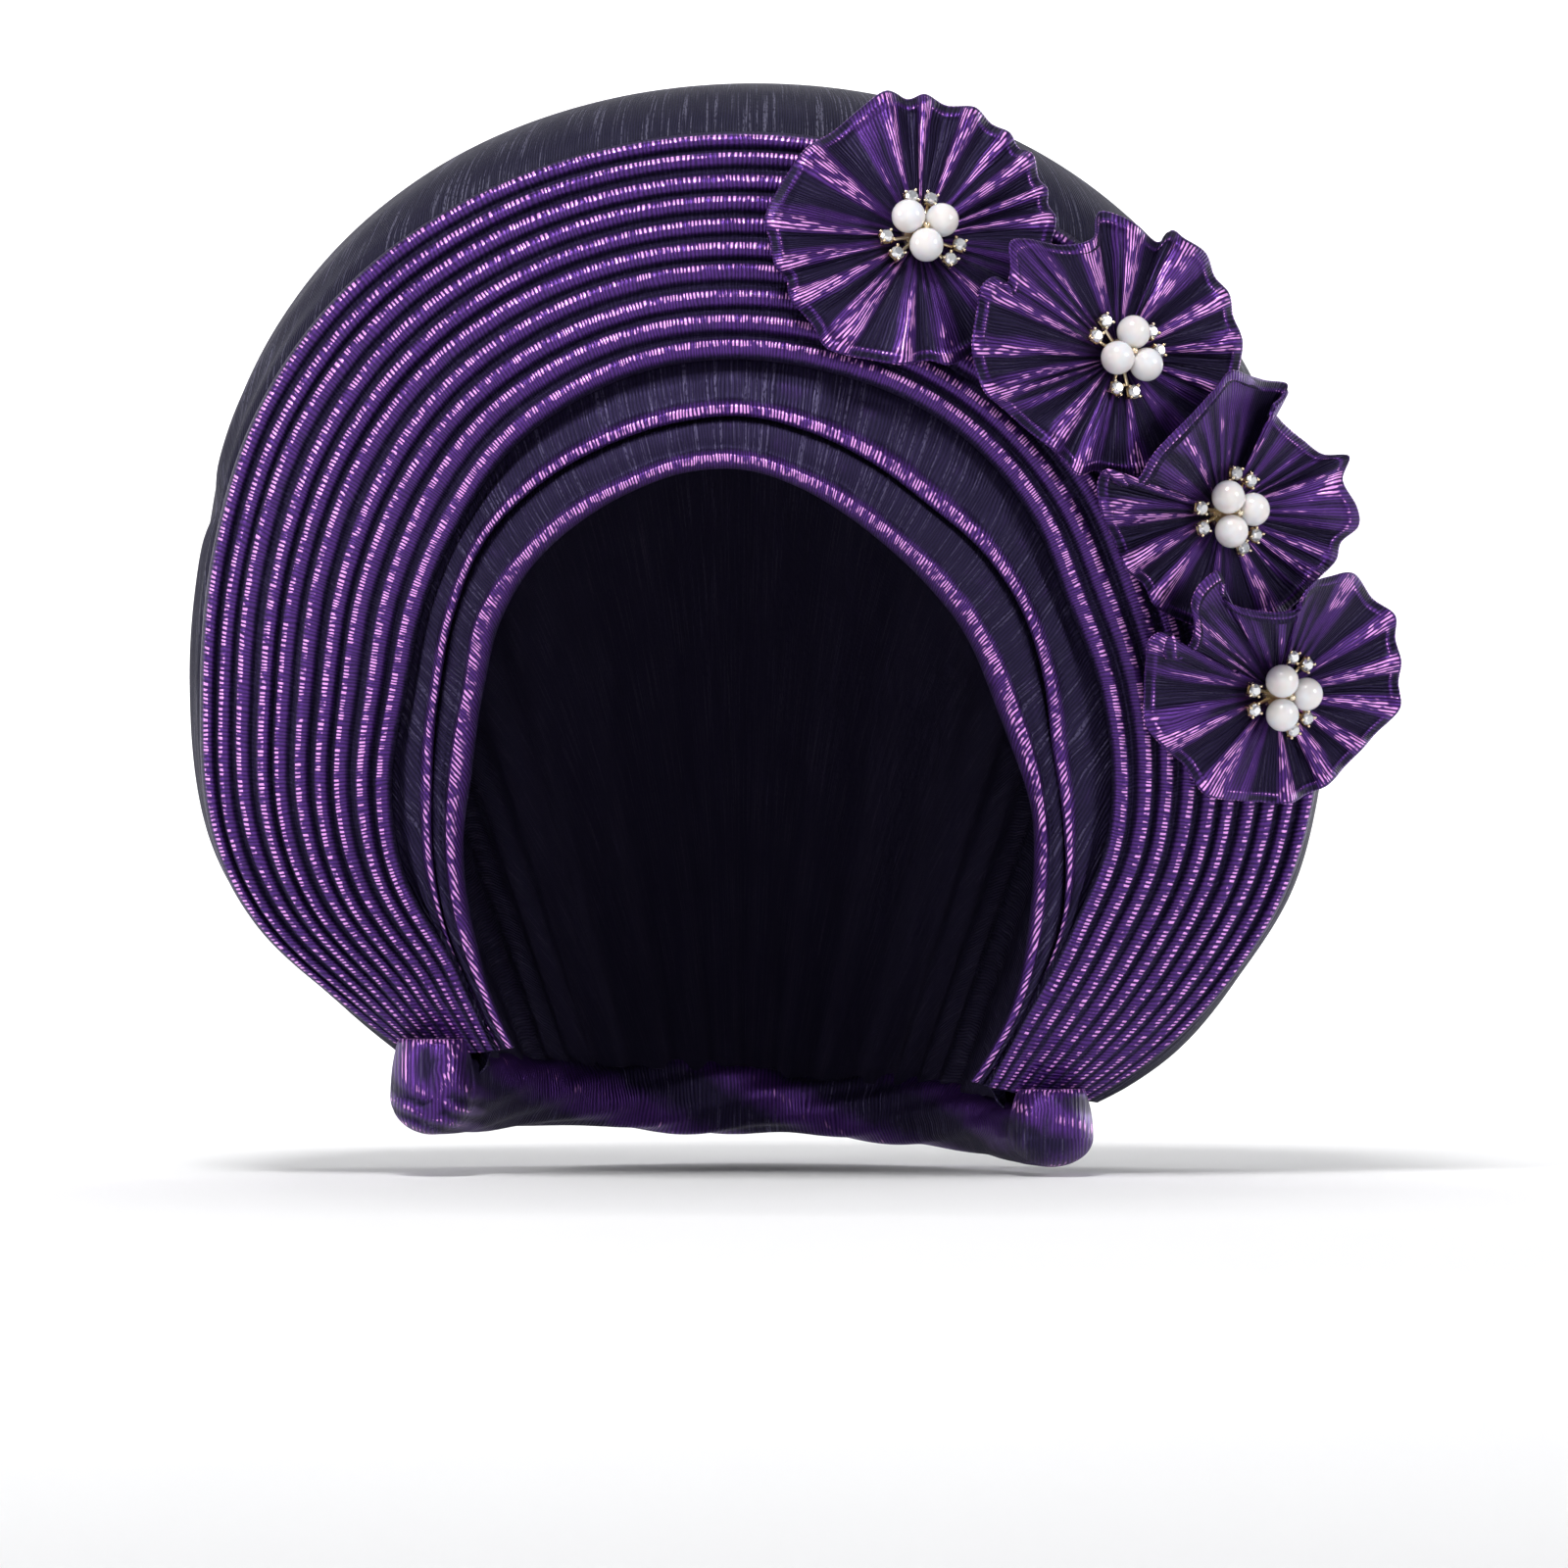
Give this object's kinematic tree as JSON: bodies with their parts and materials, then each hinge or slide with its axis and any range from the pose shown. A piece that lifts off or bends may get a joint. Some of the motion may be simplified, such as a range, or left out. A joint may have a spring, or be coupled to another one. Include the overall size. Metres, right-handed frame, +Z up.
{
  "type": "tied gele head tie",
  "caption": "Pre-tied gele head tie of stiff metallic cloth: a pleated fan round the face, a plain crown, a nape roll and ruffled rosettes that hold pearl brooches.",
  "frame": {"origin": "the crown seat: the point inside the top of the cap where the top of the head bears", "axes": "+Z up as worn, -Y out of the face opening, +X towards the side with the rosettes"},
  "size_m": [0.2841, 0.198, 0.2532],
  "materials": {
    "cap_cloth": "satin metallic weave",
    "fold_cloth": "satin metallic weave",
    "fan_cloth": "shimmering metallic weave",
    "crown_cloth": "satin metallic weave",
    "band_cloth": "satin metallic weave",
    "rosette_cloth": "shimmering metallic weave",
    "gold": "polished",
    "pearl": "pearl gloss",
    "stone": "clear and faceted"
  },
  "bodies": {
    "root": {"base_cap": "cap_cloth", "second_fold": "fold_cloth", "pleated_fan": "fan_cloth", "crown_wrap": "crown_cloth", "nape_band": "band_cloth", "rosette_1": "rosette_cloth", "rosette_2": "rosette_cloth", "rosette_3": "rosette_cloth", "rosette_4": "rosette_cloth", "brooch_1_frame": "gold", "brooch_1_pearl_1": "pearl", "brooch_1_pearl_2": "pearl", "brooch_1_pearl_3": "pearl", "brooch_1_stone_1": "stone", "brooch_1_stone_2": "stone", "brooch_1_stone_3": "stone", "brooch_1_stone_4": "stone", "brooch_1_stone_5": "stone", "brooch_1_stone_6": "stone", "brooch_2_frame": "gold", "brooch_2_pearl_1": "pearl", "brooch_2_pearl_2": "pearl", "brooch_2_pearl_3": "pearl", "brooch_2_stone_1": "stone", "brooch_2_stone_2": "stone", "brooch_2_stone_3": "stone", "brooch_2_stone_4": "stone", "brooch_2_stone_5": "stone", "brooch_2_stone_6": "stone", "brooch_3_frame": "gold", "brooch_3_pearl_1": "pearl", "brooch_3_pearl_2": "pearl", "brooch_3_pearl_3": "pearl", "brooch_3_stone_1": "stone", "brooch_3_stone_2": "stone", "brooch_3_stone_3": "stone", "brooch_3_stone_4": "stone", "brooch_3_stone_5": "stone", "brooch_3_stone_6": "stone", "brooch_4_frame": "gold", "brooch_4_pearl_1": "pearl", "brooch_4_pearl_2": "pearl", "brooch_4_pearl_3": "pearl", "brooch_4_stone_1": "stone", "brooch_4_stone_2": "stone", "brooch_4_stone_3": "stone", "brooch_4_stone_4": "stone", "brooch_4_stone_5": "stone", "brooch_4_stone_6": "stone"}
  },
  "joints": []
}
